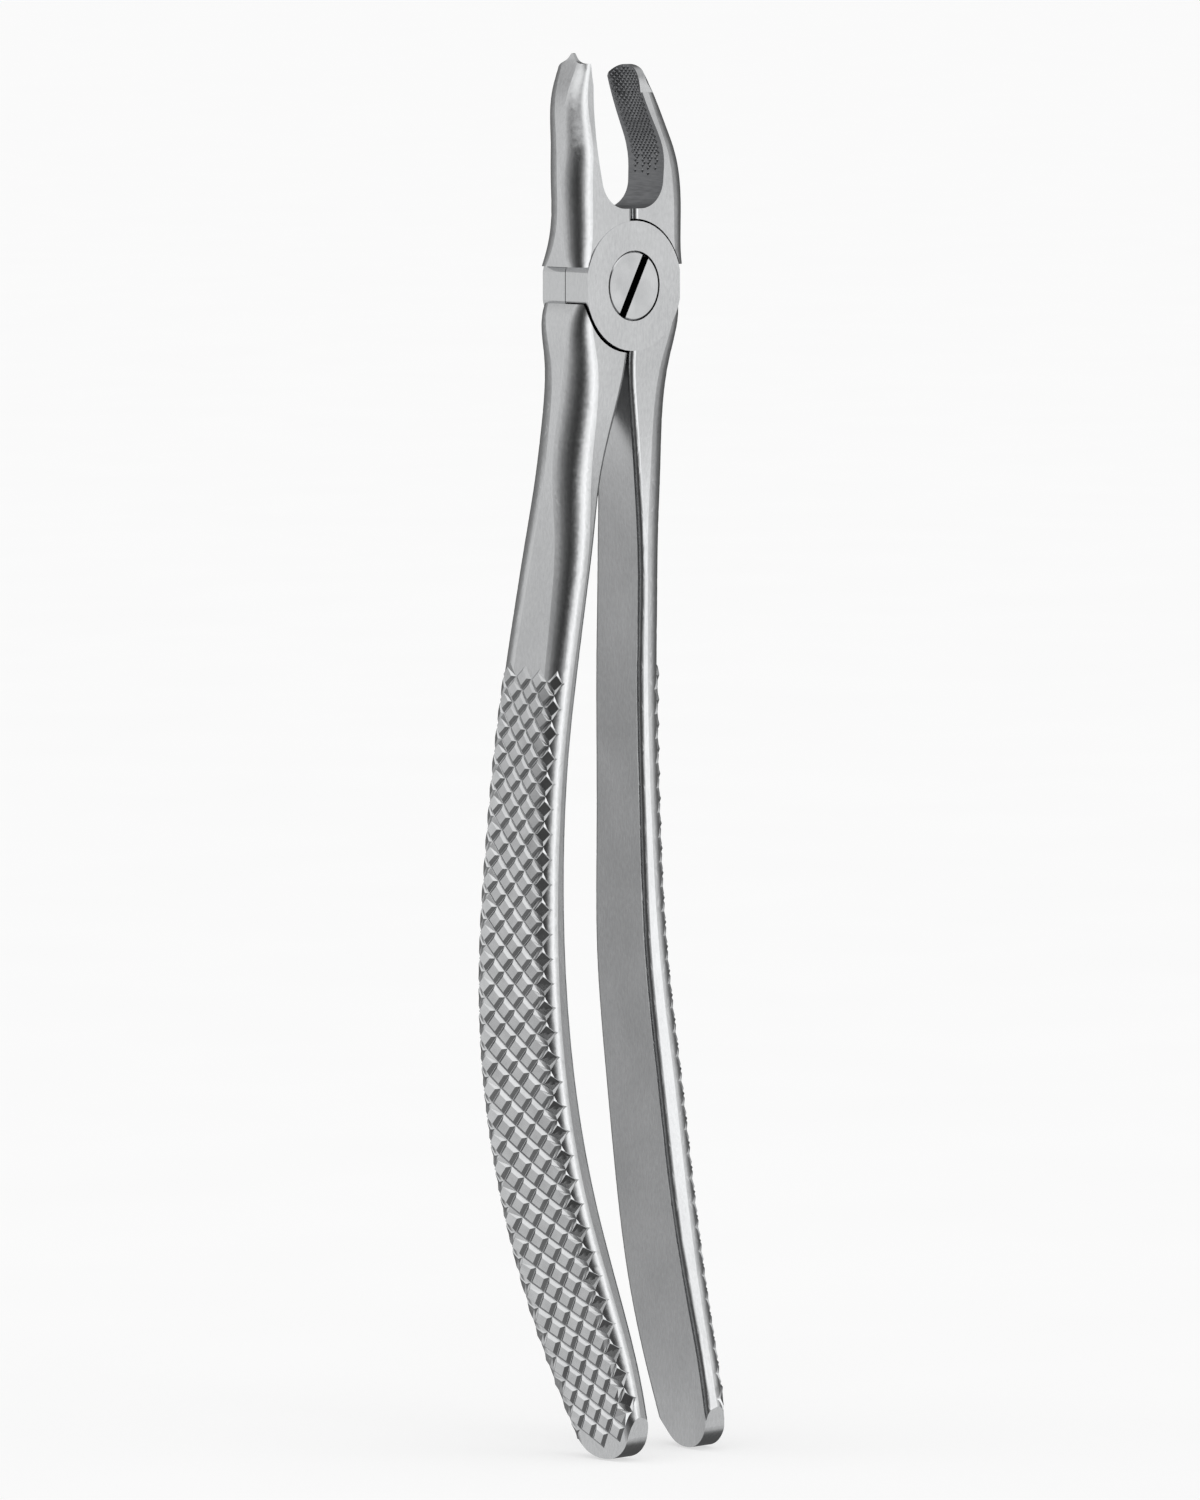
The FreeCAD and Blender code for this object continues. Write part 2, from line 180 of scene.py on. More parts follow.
def polished_steel():
    """Stainless steel, milled to a pattern, then tumbled and polished.

    Every facet gives its own glint, a little sharper or softer from place to place.
    """
    look = settings("forceps_steel")
    material, tree, shader = new_material("stainless_steel_polished_knurl")
    wear = noise(tree, 2.4, detail=3.0)
    colour = ramp(tree, wear, [(0.3, tuple(look.dark)), (0.7, tuple(look.light))])
    rough = map_range(tree, wear, look.polish - 0.04, look.polish + 0.06, 0.3, 0.7)
    tree.links.new(colour, shader.inputs["Base Color"])
    tree.links.new(rough, shader.inputs["Roughness"])
    shader.inputs["Metallic"].default_value = 1.0
    return material


def turned_steel():
    """Stainless steel, turned on a lathe.

    Faint rings about the pivot catch the light as two soft fans.
    """
    look = settings("forceps_steel")
    material, tree, shader = new_material("stainless_steel_turned")
    where = add_node(tree, "ShaderNodeTexCoord").outputs["Object"]
    rings = add_node(tree, "ShaderNodeTexWave", {
        "Vector": where, "Scale": 1 / (math.pi * RING_STEP), "Distortion": 0.6,
        "Detail": 1.0}, wave_type="RINGS", rings_direction="Y").outputs["Fac"]
    cloud = noise(tree, 3.0)
    colour = ramp(tree, cloud, [(0.3, tuple(look.dark)), (0.7, tuple(look.light))])
    rough = map_range(tree, cloud, look.satin - 0.06, look.satin + 0.04, 0.3, 0.7)
    bump = add_node(tree, "ShaderNodeBump", {
        "Height": rings, "Strength": 0.12, "Distance": 0.01 * MM})
    tree.links.new(colour, shader.inputs["Base Color"])
    tree.links.new(rough, shader.inputs["Roughness"])
    tree.links.new(bump.outputs["Normal"], shader.inputs["Normal"])
    shader.inputs["Metallic"].default_value = 1.0
    return material


def ground_and_shaded_steel():
    """Stainless steel, hollow-ground across the beak and left unpolished, with painted shade.

    It is darker and duller than the rest, with fine scratches across the beak; the darker colour is
    painted shade between the beaks.
    """
    material, tree, shader = new_material("stainless_steel_hollow_ground_painted_shade")
    scratch = noise(tree, 0.2, detail=2.0, stretch=(8, 8, 1))
    # Darker colours: painted shade on the beaks' facing sides, varied at random by the scratches.
    colour = ramp(tree, scratch, [(0.3, linear("#717274")), (0.7, linear("#8C8D8F"))])
    rough = map_range(tree, scratch, 0.34, 0.48, 0.3, 0.7)
    bump = add_node(tree, "ShaderNodeBump", {
        "Height": scratch, "Strength": 0.3, "Distance": 0.01 * MM})
    tree.links.new(colour, shader.inputs["Base Color"])
    tree.links.new(rough, shader.inputs["Roughness"])
    tree.links.new(bump.outputs["Normal"], shader.inputs["Normal"])
    shader.inputs["Metallic"].default_value = 1.0
    return material


def painted_shade_steel():
    """Stainless steel, milled, coloured nearly black as painted shade.

    It makes the screw's slot and the joint's sliding faces look nearly black: painted shade in these
    recesses.
    """
    material, tree, shader = new_material("stainless_steel_slot_painted_shade")
    cloud = noise(tree, 0.8)
    # Nearly black colours: painted shade in the slot and between the halves.
    colour = ramp(tree, cloud, [(0.3, linear("#19191A")), (0.7, linear("#262627"))])
    tree.links.new(colour, shader.inputs["Base Color"])
    shader.inputs["Roughness"].default_value = 0.55
    shader.inputs["Metallic"].default_value = 1.0
    return material


def floor_paint():
    """Matt white board, sprayed. It looks plain and pale, with the faintest mottling."""
    look = settings("forceps_stage")
    material, tree, shader = new_material("floor_matt_white")
    cloud = noise(tree, 40.0)
    colour = ramp(tree, cloud, [(0.3, linear("#B4B4B4")), (0.7, linear("#B6B6B6"))])
    tree.links.new(colour, shader.inputs["Base Color"])
    shader.inputs["Roughness"].default_value = 0.9
    shader.inputs["Specular IOR Level"].default_value = 0.0
    shader.inputs["Emission Color"].default_value = linear("#FFFFFF")
    shader.inputs["Emission Strength"].default_value = look.floor_glow
    return material


# ---------------------------------------------------------------- measuring the forgings

def surface_of(node):
    """Return a searchable copy of a CAD node's surface."""
    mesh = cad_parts[node].data
    mesh.calc_loop_triangles()
    return BVHTree.FromPolygons([v.co.copy() for v in mesh.vertices],
                                [tuple(t.vertices) for t in mesh.loop_triangles])


def middle_of(surface, start, across, along):
    """Move a point to the middle of the metal, along two directions in turn."""
    point = start.copy()
    for direction in (across, along, across, along):
        ends = [surface.ray_cast(point, way)[0] for way in (direction, -direction)]
        if None in ends:
            raise RuntimeError(f"the metal's middle was lost near {start}")
        point = (ends[0] + ends[1]) / 2
    return point


def centre_line(surface, side, top, bottom, step):
    """Follow the middle of a handle from top to bottom, in level steps."""
    knurl = settings("forceps_knurl")
    point = Vector((side * knurl.start[0], knurl.start[1], top))
    line = []
    level = top
    while level > bottom:
        point.z = level
        point = middle_of(surface, point, Vector((1, 0, 0)), Vector((0, 1, 0)))
        line.append(point.copy())
        level -= step
    return line


def smoothed(points, rounds):
    """Average each point with its neighbours, ends kept."""
    for _ in range(rounds):
        points = [points[0]] + [
            (points[at - 1] + points[at] * 2 + points[at + 1]) / 4
            for at in range(1, len(points) - 1)] + [points[-1]]
    return points


class Handle:
    """A handle's middle line, with a section at any distance down it."""

    RAYS = 240
    SMOOTHING_ROUNDS = 12
    TANGENT_REACH = 6  # steps up and down the middle line that give its direction

    def __init__(self, node, side, top, bottom, full_until):
        self.surface = surface_of(node)
        self.side = side
        self.line = smoothed(centre_line(self.surface, side, top, full_until, MM),
                             self.SMOOTHING_ROUNDS)
        last = self.line[-1] - self.line[-self.TANGENT_REACH]
        last.normalize()
        while self.line[-1].z > bottom:
            self.line.append(self.line[-1] + last * MM)
        self.full = full_until
        self.distance = [0.0]
        for a, b in zip(self.line, self.line[1:]):
            self.distance.append(self.distance[-1] + (b - a).length)
        self.length = self.distance[-1]

    def place(self, distance):
        """Return the middle point and the three directions there: out, sideways, down."""
        at = max(1, min(len(self.line) - 2,
                        next((k for k, d in enumerate(self.distance) if d > distance),
                             len(self.line) - 1)))
        a, b = self.line[at - 1], self.line[at]
        share = (distance - self.distance[at - 1]) / (self.distance[at] - self.distance[at - 1])
        point = a.lerp(b, share)
        low = max(0, at - self.TANGENT_REACH)
        high = min(len(self.line) - 1, at - 1 + self.TANGENT_REACH)
        down = (self.line[high] - self.line[low]).normalized()
        out = Vector((self.side, 0, 0))
        out = (out - down * out.dot(down)).normalized()
        return point, out, down.cross(out), down

    def section(self, distance):
        """Return the outline round a section, as (outwards, sideways) from the middle."""
        point, out, aside, _ = self.place(distance)
        ring = []
        for ray in range(self.RAYS):
            angle = 2 * math.pi * ray / self.RAYS - math.pi
            way = out * math.cos(angle) + aside * math.sin(angle)
            hit = self.surface.ray_cast(point, way)[0]
            if hit is None:
                raise RuntimeError("a section ray missed the handle")
            ring.append(((hit - point).dot(out), (hit - point).dot(aside)))
        return ring


def along_outline(ring, margin, count):
    """Place count + 1 points evenly over the outer part of a section's outline.

    The outline starts in the middle of the inner face. The margin is left bare on each
    side beyond the inner face's own half width.
    """
    closed = ring + ring[:1]
    reach = [0.0]
    for (x0, y0), (x1, y1) in zip(closed, closed[1:]):
        reach.append(reach[-1] + math.hypot(x1 - x0, y1 - y0))
    half = (max(y for _, y in ring) - min(y for _, y in ring)) / 2
    start, end = half + margin, reach[-1] - half - margin
    placed, at = [], 1
    for k in range(count + 1):
        wanted = start + (end - start) * k / count
        while reach[at] < wanted:
            at += 1
        share = (wanted - reach[at - 1]) / (reach[at] - reach[at - 1])
        (x0, y0), (x1, y1) = closed[at - 1], closed[at]
        placed.append((x0 + (x1 - x0) * share, y0 + (y1 - y0) * share))
    return placed


# ---------------------------------------------------------------- the pieces

class KnurlLattice:
    """The crossing points of the knurling's grooves, laid over one handle."""

    RAY_START = 1.5 * MM  # how far outside the steel a measuring ray starts
    STEEPEST = 0.5  # cosine of the steepest steel, against the ray, that still takes a diamond

    def __init__(self, handle):
        size = settings("forceps_knurl")
        self.handle = handle
        self.half_step = size.pitch / 2
        self.columns = size.half_diamonds
        self.rows = int(handle.length / self.half_step)
        self.outlines = []
        outline = None
        for row in range(self.rows + 1):
            distance = row * self.half_step
            if handle.place(distance)[0].z > handle.full:
                outline = along_outline(handle.section(distance), size.bare_edge,
                                        self.columns)
            self.outlines.append(outline)

    def spot(self, column, row):
        """Return a lattice point on the metal and the way out of it, or nothing past the end."""
        left = min(max(int(math.floor(column)), 0), self.columns - 1)
        above = min(max(int(math.floor(row)), 0), self.rows - 1)
        ends = []
        for outline in self.outlines[above:above + 2]:
            a, b = Vector(outline[left]), Vector(outline[left + 1])
            ends.append(a.lerp(b, column - left))
        flat = ends[0].lerp(ends[1], row - above)
        tangent = (Vector(self.outlines[above][left + 1])
                   - Vector(self.outlines[above][left])).normalized()
        normal = Vector((tangent.y, -tangent.x))
        if normal.dot(flat) < 0:
            normal = -normal
        point, out, aside, _ = self.handle.place(row * self.half_step)
        way = out * normal.x + aside * normal.y
        start = point + out * flat.x + aside * flat.y
        hit, found, _, _ = self.handle.surface.ray_cast(start + way * self.RAY_START, -way,
                                                        2 * self.RAY_START)
        if hit is None or abs(found.dot(way)) < self.STEEPEST:
            return None
        return hit, way


def raised_diamonds(name, columns, rows, spot, size, keep=None):
    """Build flat-topped diamonds over a lattice of groove crossings, as one mesh.

    spot(column, row) gives a point on the metal and the way out of it, or nothing.
    keep(column, row) says whether the diamond in that place is wanted.
    """
    build = bmesh.new()
    made = {}

    def vertex(column, row, height):
        key = (round(column, 3), round(row, 3), height > 0)
        if key not in made:
            place = spot(column, row)
            made[key] = build.verts.new(place[0] + place[1] * height) if place else None
        return made[key]

    around = ((1, 0), (0, 1), (-1, 0), (0, -1))
    top = size.flat_share
    for row in range(1, rows):
        for column in range(1, columns):
            if (row + column) % 2 or (keep and not keep(column, row)):
                continue
            corners = [vertex(column + dc, row + dr, -size.sunk) for dc, dr in around]
            height = size.height * (EDGE_HEIGHT if column in (1, columns - 1) else 1)
            lid = [vertex(column + dc * top, row + dr * top, height) for dc, dr in around]
            if None in corners or None in lid:
                continue
            build.faces.new(lid)
            for k in range(4):
                build.faces.new((corners[k], corners[(k + 1) % 4], lid[(k + 1) % 4], lid[k]))
    for loose in [v for v in build.verts if not v.link_faces]:
        build.verts.remove(loose)
    bmesh.ops.recalc_face_normals(build, faces=build.faces)
    mesh = bpy.data.meshes.new(name)
    build.to_mesh(mesh)
    build.free()
    return mesh


def knurled_grip(handle):
    """Build the raised diamonds over a handle's outer face."""
    lattice = KnurlLattice(handle)
    return raised_diamonds("knurl", lattice.columns, lattice.rows, lattice.spot,
                           settings("forceps_knurl"))


class BeakFace:
    """The inner face of one beak, measured from the gap between the beaks."""

    RAY_LENGTH = 8 * MM
    STEEPEST = 0.6  # cosine of the steepest steel, against the ray, that counts as inner face
    SCAN_STEP = 0.1 * MM
    SCAN_FROM, SCAN_TO = -13 * MM, 6 * MM  # front and back limits of the search for its edges

    def __init__(self, node, side):
        size = settings("forceps_serration")
        self.surface = surface_of(node)
        self.way = Vector((side, 0, 0))
        self.bottom = size.bottom
        self.half_step = size.pitch / 2
        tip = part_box(node)[1].z
        self.rows = int((tip - self.bottom) / self.half_step)
        self.edges = [self.edges_at(self.bottom + row * self.half_step)
                      for row in range(self.rows + 1)]
        self.columns = 2 * int(size.width / size.pitch)

    def hit(self, y, z):
        """Return a point of the inner face and its normal towards the gap, or nothing."""
        point, normal, _, _ = self.surface.ray_cast(Vector((0, y, z)), self.way,
                                                  self.RAY_LENGTH)
        if point is None:
            return None
        if normal.dot(self.way) > 0:
            normal = -normal
        return (point, normal) if normal.dot(self.way) < -self.STEEPEST else None

    def edges_at(self, z):
        """Return the front and back edge of the inner face at a height, or nothing."""
        first, last = round(self.SCAN_FROM / self.SCAN_STEP), round(self.SCAN_TO / self.SCAN_STEP)
        found = [k * self.SCAN_STEP for k in range(first, last)
                 if self.hit(k * self.SCAN_STEP, z)]
        return (found[0], found[-1]) if found else None

    def spot(self, column, row):
        """Return a lattice point on the inner face and the way out of it, or nothing."""
        above = min(max(int(math.floor(row)), 0), self.rows)
        if self.edges[above] is None:
            return None
        middle = sum(self.edges[above]) / 2
        if above < self.rows and self.edges[above + 1]:
            middle += (sum(self.edges[above + 1]) / 2 - middle) * (row - above)
        across = (column - self.columns / 2) * self.half_step
        return self.hit(middle + across, self.bottom + row * self.half_step)


def serrated_face(node, side):
    """Build the fine raised teeth over a beak's inner face, which end like a comb."""
    size = settings("forceps_serration")
    face = BeakFace(node, side)

    def keep(column, row):
        """Start each column at one of seven heights, out of order."""
        return row > size.comb * ((column * 5) % 7) / 6

    return raised_diamonds("serration", face.columns, face.rows, face.spot, size, keep)


def slotted_screw():
    """Build the pivot screw: a turned head with a small chamfer, and a shank."""
    size = settings("forceps_screw")
    low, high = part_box("pivot_screw")
    front, back = low.y, high.y
    head = high.x - size.ring_gap
    shank = size.shank_radius
    edge = size.chamfer
    profile = [(0, front), (head - edge, front), (head, front + edge),
               (head, front + size.head_depth), (shank, front + size.head_depth),
               (shank, back - edge), (shank - edge, back), (0, back)]
    build = bmesh.new()
    steps = TURNED_SIDES
    rings = []
    for radius, y in profile:
        if radius == 0:
            rings.append([build.verts.new((0, y, 0))])
            continue
        rings.append([build.verts.new((radius * math.cos(2 * math.pi * k / steps), y,
                                       radius * math.sin(2 * math.pi * k / steps)))
                      for k in range(steps)])
    for a, b in zip(rings, rings[1:]):
        for k in range(steps):
            after = (k + 1) % steps
            if len(a) == 1:
                build.faces.new((a[0], b[k], b[after]))
            elif len(b) == 1:
                build.faces.new((a[k], b[0], a[after]))
            else:
                build.faces.new((a[k], b[k], b[after], a[after]))
    bmesh.ops.recalc_face_normals(build, faces=build.faces)
    mesh = bpy.data.meshes.new("pivot_screw_turned")
    build.to_mesh(mesh)
    build.free()
    return mesh


def paint_shade_in_slot(mesh):
    """Give the slot's walls and floor the screw's second material, the nearly black painted shade.
    """
    size = settings("forceps_screw")
    front = min(v.co.y for v in mesh.vertices)
    turned_back = Matrix.Rotation(-size.slot_angle, 3, "Y")
    margin = 0.02 * MM
    for face in mesh.polygons:
        middle = turned_back @ face.center
        inside = front + margin < middle.y < front + size.slot_depth + margin
        if inside and abs(middle.x) < (size.slot_width + margin) / 2:
            face.material_index = 1


def slot_cutter():
    """Build the block that the slot is milled with."""
    size = settings("forceps_screw")
    low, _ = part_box("pivot_screw")
    length = 12 * MM
    build = bmesh.new()
    bmesh.ops.create_cube(build, size=1)
    turn = Matrix.Rotation(size.slot_angle, 4, "Y")
    scale = Matrix.Diagonal((size.slot_width, 2 * size.slot_depth, length, 1))
    build.transform(Matrix.Translation((0, low.y, 0)) @ turn @ scale)
    mesh = bpy.data.meshes.new("slot_cutter")
    build.to_mesh(mesh)
    build.free()
    cutter = bpy.data.objects.new("slot_cutter", mesh)
    bpy.context.scene.collection.objects.link(cutter)
    return cutter


def apply_modifiers(piece):
    """Put the modifiers' result into the piece's own mesh."""
    graph = bpy.context.evaluated_depsgraph_get()
    made = bpy.data.meshes.new_from_object(piece.evaluated_get(graph))
    piece.modifiers.clear()
    piece.data = made


# ---------------------------------------------------------------- settings

class FORCEPS_PG_steel(bpy.types.PropertyGroup):
    """Colour and smoothness of the steel."""
    light: bpy.props.FloatVectorProperty(
        name="Light steel", description="Colour of the lighter grain", subtype="COLOR",
        size=4, min=0, max=1, default=linear("#D2D3D4"))
    dark: bpy.props.FloatVectorProperty(
        name="Dark steel", description="Colour of the darker grain", subtype="COLOR",
        size=4, min=0, max=1, default=linear("#BFC0C1"))
    satin: bpy.props.FloatProperty(
        name="Satin roughness", description="Roughness of the blasted surfaces",
        default=0.22, min=0.05, max=1)
    polish: bpy.props.FloatProperty(
        name="Polished roughness", description="Roughness of the polished facets",
        default=0.2, min=0.05, max=1)


class FORCEPS_PG_knurl(bpy.types.PropertyGroup):
    """Sizes of the diamond knurling on the grips."""
    pitch: bpy.props.FloatProperty(
        name="Pitch", description="Distance between diamonds down the handle",
        default=3.2 * MM, unit="LENGTH", precision=5)
    height: bpy.props.FloatProperty(
        name="Height", description="Height of a diamond's flat top over the steel",
        default=0.38 * MM, unit="LENGTH", precision=5)
    sunk: bpy.props.FloatProperty(
        name="Sunk", description="How far a groove's bottom lies under the steel's surface",
        default=0.02 * MM, unit="LENGTH", precision=5)
    flat_share: bpy.props.FloatProperty(
        name="Flat top", description="A diamond's flat top as a share of the diamond",
        default=0.6, min=0.1, max=0.9)
    half_diamonds: bpy.props.IntProperty(
        name="Half diamonds", description="Half diamonds from one edge of the grip to the other",
        default=9, min=3)
    bare_edge: bpy.props.FloatProperty(
        name="Bare edge", description="Smooth band left beside the inner face",
        default=2.0 * MM, unit="LENGTH", precision=5)
    top: bpy.props.FloatProperty(
        name="Top", description="Height where the knurling starts",
        default=-47.5 * MM, unit="LENGTH", precision=5)
    start: bpy.props.FloatVectorProperty(
        name="Start", description="A point inside the handle there, outwards and backwards",
        subtype="TRANSLATION", size=2, default=(8.4 * MM, 1.6 * MM), precision=5)


class FORCEPS_PG_serration(bpy.types.PropertyGroup):
    """Sizes of the fine teeth inside the beaks."""
    pitch: bpy.props.FloatProperty(
        name="Pitch", description="Distance between teeth along the beak",
        default=0.66 * MM, unit="LENGTH", precision=5)
    height: bpy.props.FloatProperty(
        name="Height", description="Height of a tooth over the steel",
        default=0.13 * MM, unit="LENGTH", precision=5)
    sunk: bpy.props.FloatProperty(
        name="Sunk", description="How far a groove's bottom lies under the steel's surface",
        default=0.02 * MM, unit="LENGTH", precision=5)
    flat_share: bpy.props.FloatProperty(
        name="Flat top", description="A tooth's flat top as a share of the tooth",
        default=0.3, min=0.1, max=0.9)
    width: bpy.props.FloatProperty(
        name="Width", description="Widest band that the teeth may cover",
        default=5.6 * MM, unit="LENGTH", precision=5)
    bottom: bpy.props.FloatProperty(
        name="Bottom", description="Height over the pivot where the teeth start",
        default=13.5 * MM, unit="LENGTH", precision=5)
    # The ground faces from this height up also carry painted shade.
    ground_and_shade_from: bpy.props.FloatProperty(
        name="Ground from", description="Height over the pivot where the ground faces start",
        default=9.6 * MM, unit="LENGTH", precision=5)
    comb: bpy.props.FloatProperty(
        name="Comb", description="Uneven start of the rows, in half teeth", default=9, min=0)


class FORCEPS_PG_joint(bpy.types.PropertyGroup):
    """Sizes of the lap joint."""
    recess_radius: bpy.props.FloatProperty(
        name="Recess radius", description="Radius of the wall round the other half's disc",
        default=8.35 * MM, unit="LENGTH", precision=5)


class FORCEPS_PG_screw(bpy.types.PropertyGroup):
    """Sizes of the pivot screw."""
    ring_gap: bpy.props.FloatProperty(
        name="Ring gap", description="How much smaller the head is than the packed one",
        default=0.1 * MM, unit="LENGTH", precision=5)
    chamfer: bpy.props.FloatProperty(
        name="Chamfer", description="Broken edge of the head", default=0.14 * MM,
        unit="LENGTH", precision=5)
    head_depth: bpy.props.FloatProperty(
        name="Head depth", description="Thickness of the head", default=2.4 * MM,
        unit="LENGTH", precision=5)
    shank_radius: bpy.props.FloatProperty(
        name="Shank radius", description="Radius of the screw's shank", default=2.6 * MM,
        unit="LENGTH", precision=5)
    slot_width: bpy.props.FloatProperty(
        name="Slot width", description="Width of the milled slot", default=1.12 * MM,
        unit="LENGTH", precision=5)
    slot_depth: bpy.props.FloatProperty(
        name="Slot depth", description="Depth of the milled slot", default=1.2 * MM,
        unit="LENGTH", precision=5)
    slot_angle: bpy.props.FloatProperty(
        name="Slot angle", description="Turn of the slot from upright",
        default=math.radians(28.5), unit="ROTATION")


class FORCEPS_PG_stage(bpy.types.PropertyGroup):
    """Camera, floor and light."""
    azimuth: bpy.props.FloatProperty(
        name="Azimuth", description="Camera's turn about the upright axis",
        default=math.radians(-43.4), unit="ROTATION")
    elevation: bpy.props.FloatProperty(
        name="Elevation", description="Camera's height above the horizon",
        default=math.radians(5), unit="ROTATION")
    distance: bpy.props.FloatProperty(
        name="Distance", description="From the camera to the forceps", default=1.3,
        unit="LENGTH")
    seen_height: bpy.props.FloatProperty(
        name="Seen height", description="Height of the picture at the forceps",
        default=187.5 * MM, unit="LENGTH")
    aim: bpy.props.FloatVectorProperty(
        name="Aim", description="Point at the middle of the picture", subtype="TRANSLATION",
        size=3, default=(-2.48 * MM, -4.64 * MM, -58.05 * MM))
    floor_glow: bpy.props.FloatProperty(
        name="Floor glow", description="Own light of the floor board", default=0.6)
    light: bpy.props.FloatProperty(
        name="Light", description="Strength of the studio light", default=1.0)


# ---------------------------------------------------------------- operators

class FORCEPS_OT_halves(bpy.types.Operator):
    """Finish the two forged halves in satin stainless steel, with painted shade between the beaks
    and in the joint
    """
    bl_idname = "forceps.halves"
    bl_label = "Forged halves"

    GAP_REACH = 6.5 * MM  # the beaks' inner side lies within this of the middle
    TOLERANCE = 0.2 * MM

    def execute(self, context):
        # The ground steel carries painted shade between the beaks; the last material is nearly black
        # painted shade.
        finishes_and_painted_shades = satin_steel(), ground_and_shaded_steel(), painted_shade_steel()
        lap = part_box("pivot_screw")[0].y / 2
        for name, side in (("back_half", 1), ("front_half", -1)):
            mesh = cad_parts[name].data
            mesh.materials.clear()
            for finish in finishes_and_painted_shades:
                mesh.materials.append(finish)
            for face in mesh.polygons:
                if self.is_ground_and_shaded(face, side):
                    face.material_index = 1
                else:
                    # Nearly black painted shade where the halves slide and round each disc.
                    face.material_index = 2 if self.is_hidden_in_joint(face, lap) else 0
        return {"FINISHED"}

    def is_hidden_in_joint(self, face, lap):
        """Say whether a face is where the halves slide, or the wall round a disc; these get the
        nearly black painted shade.

        lap is how far forwards the discs' sliding faces lie.
        """
        size = settings("forceps_joint")
        outwards = Vector((face.center.x, 0, face.center.z))
        slides = abs(face.center.y - lap) < self.TOLERANCE and abs(face.normal.y) > 0.9
        if slides and outwards.length < size.recess_radius:
            return True
        return (abs(outwards.length - size.recess_radius) < 0.4 * self.TOLERANCE
                and face.normal.dot(outwards.normalized()) < -0.9)

    def is_ground_and_shaded(self, face, side):
        """Say whether a face belongs to the beak's inner side or to the gap's curved bottom, which
        get the ground finish and its painted shade.
        """
        size = settings("forceps_serration")
        reach = face.center.x * side
        gap_bottom = face.center.z < size.bottom and abs(face.normal.y) < 0.2
        limit = 0.5 if gap_bottom else -0.75
        return (face.center.z > size.ground_and_shade_from - self.TOLERANCE and 0 < reach < self.GAP_REACH
                and face.normal.x * side < limit)


class FORCEPS_OT_screw(bpy.types.Operator):
    """Build the slotted pivot screw"""
    bl_idname = "forceps.screw"
    bl_label = "Pivot screw"

    def execute(self, context):
        screw = new_piece("screw_turned", slotted_screw(), "back_half", turned_steel())
        cutter = slot_cutter()
        cut = screw.modifiers.new("slot", "BOOLEAN")
        cut.object = cutter
        cut.solver = "EXACT"
        apply_modifiers(screw)
        bpy.data.objects.remove(cutter)
        screw.data.shade_smooth()
        screw.data.set_sharp_from_angle(angle=math.radians(28))
        # The second material is the nearly black painted shade for the slot.
        screw.data.materials.append(painted_shade_steel())
        paint_shade_in_slot(screw.data)
        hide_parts("pivot_screw")
        return {"FINISHED"}


class FORCEPS_OT_knurl(bpy.types.Operator):
    """Build the diamond knurling on both grips"""
    bl_idname = "forceps.knurl"
    bl_label = "Knurled grips"

    ROUND_END = 9 * MM  # below this height over its bottom, the handle's end is cut round

    def execute(self, context):
        size = settings("forceps_knurl")
        material = polished_steel()
        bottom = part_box("back_half")[0].z
        for node, side in (("back_half", -1), ("front_half", 1)):
            handle = Handle(node, side, size.top, bottom, bottom + self.ROUND_END)
            new_piece(f"knurl_{node}", knurled_grip(handle), node, material)
        return {"FINISHED"}


class FORCEPS_OT_serration(bpy.types.Operator):
    """Build the fine teeth inside both beaks"""
    bl_idname = "forceps.serration"
    bl_label = "Serrated beaks"

    def execute(self, context):
        # The teeth take the ground steel, whose darker colour is partly painted shade.
        material = ground_and_shaded_steel()
        for node, side in (("back_half", 1), ("front_half", -1)):
            new_piece(f"serration_{node}", serrated_face(node, side), node, material)
        return {"FINISHED"}


